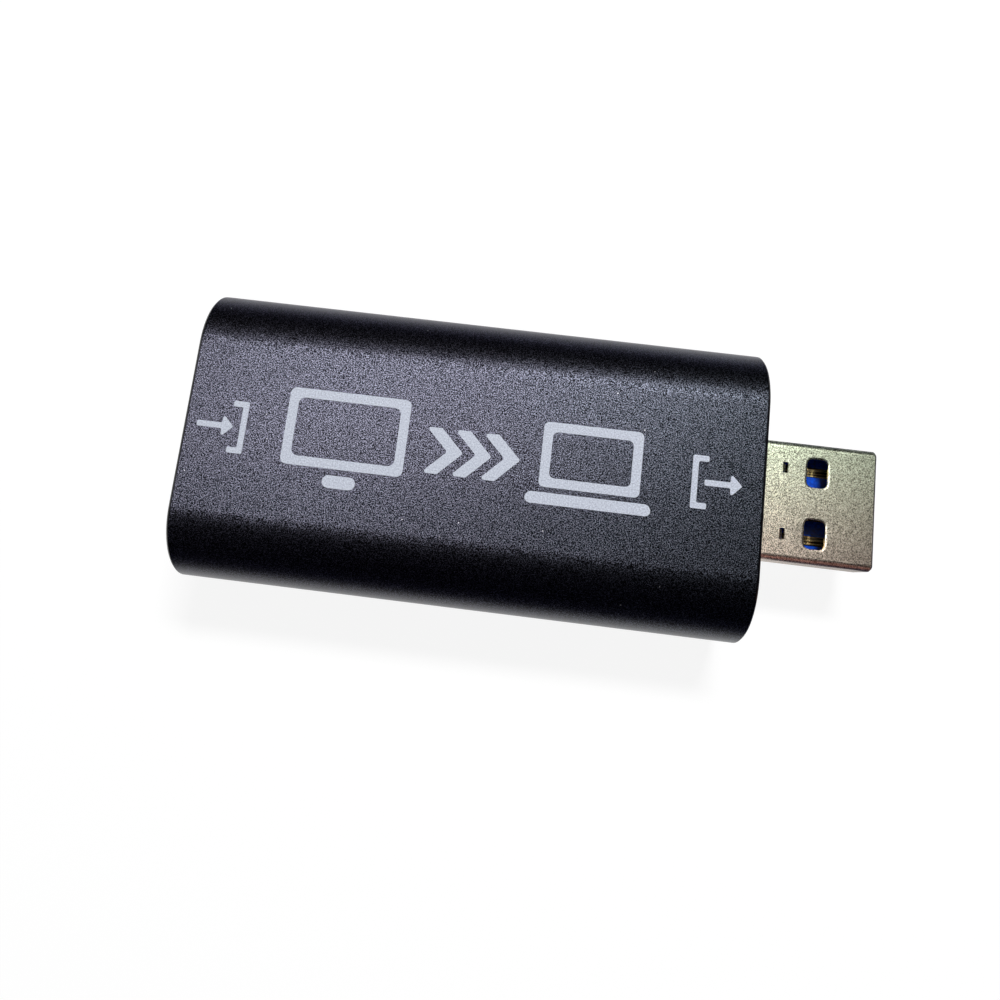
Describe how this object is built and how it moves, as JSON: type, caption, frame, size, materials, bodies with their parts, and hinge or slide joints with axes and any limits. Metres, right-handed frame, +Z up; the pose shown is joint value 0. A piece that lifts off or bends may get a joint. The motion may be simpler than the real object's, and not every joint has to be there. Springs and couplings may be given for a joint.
{
  "type": "video capture box",
  "caption": "Flat round-edged metal stick with a digital video socket at one end and a type-A data plug at the other, for feeding a video signal to a computer.",
  "frame": {"origin": "middle of the sleeve's flat underside", "axes": "+X along the sleeve towards the plug, +Y across the width, +Z up"},
  "size_m": [0.0675, 0.0288, 0.013],
  "materials": {
    "sleeve": "bead-blasted and anodised black",
    "end_plates": "moulded, finely textured",
    "board": "glass-fibre laminate with solder mask",
    "connector_shells": "stamped, satin nickel plate",
    "contacts": "gold plate",
    "socket_insulator": "moulded",
    "plug_insulator": "moulded blue",
    "chip_packages": "moulded epoxy",
    "solder_and_leads": "tinned",
    "crystal_ceramic": "fired ceramic",
    "crystal_metal": "satin",
    "capacitor_ceramic": "fired ceramic",
    "resistor_bodies": "glazed"
  },
  "bodies": {
    "root": {"case_sleeve": "sleeve", "input_end_plate": "end_plates", "output_end_plate": "end_plates", "circuit_board": "board", "socket_shell": "connector_shells", "socket_insulator": "socket_insulator", "socket_upper_contacts": "contacts", "socket_lower_contacts": "contacts", "plug_shell": "connector_shells", "plug_insulator": "plug_insulator", "plug_main_contacts": "contacts", "plug_fast_contacts": "contacts", "capture_chip": "chip_packages", "capture_chip_pads": "solder_and_leads", "memory_chip": "chip_packages", "memory_chip_leads": "solder_and_leads", "crystal_base": "crystal_ceramic", "crystal_lid": "crystal_metal", "regulator_body": "chip_packages", "regulator_leads": "solder_and_leads", "core_regulator_body": "chip_packages", "core_regulator_leads": "solder_and_leads", "surge_arrays": "chip_packages", "capacitors": "capacitor_ceramic", "resistors": "resistor_bodies", "passive_terminals": "solder_and_leads"}
  },
  "joints": []
}
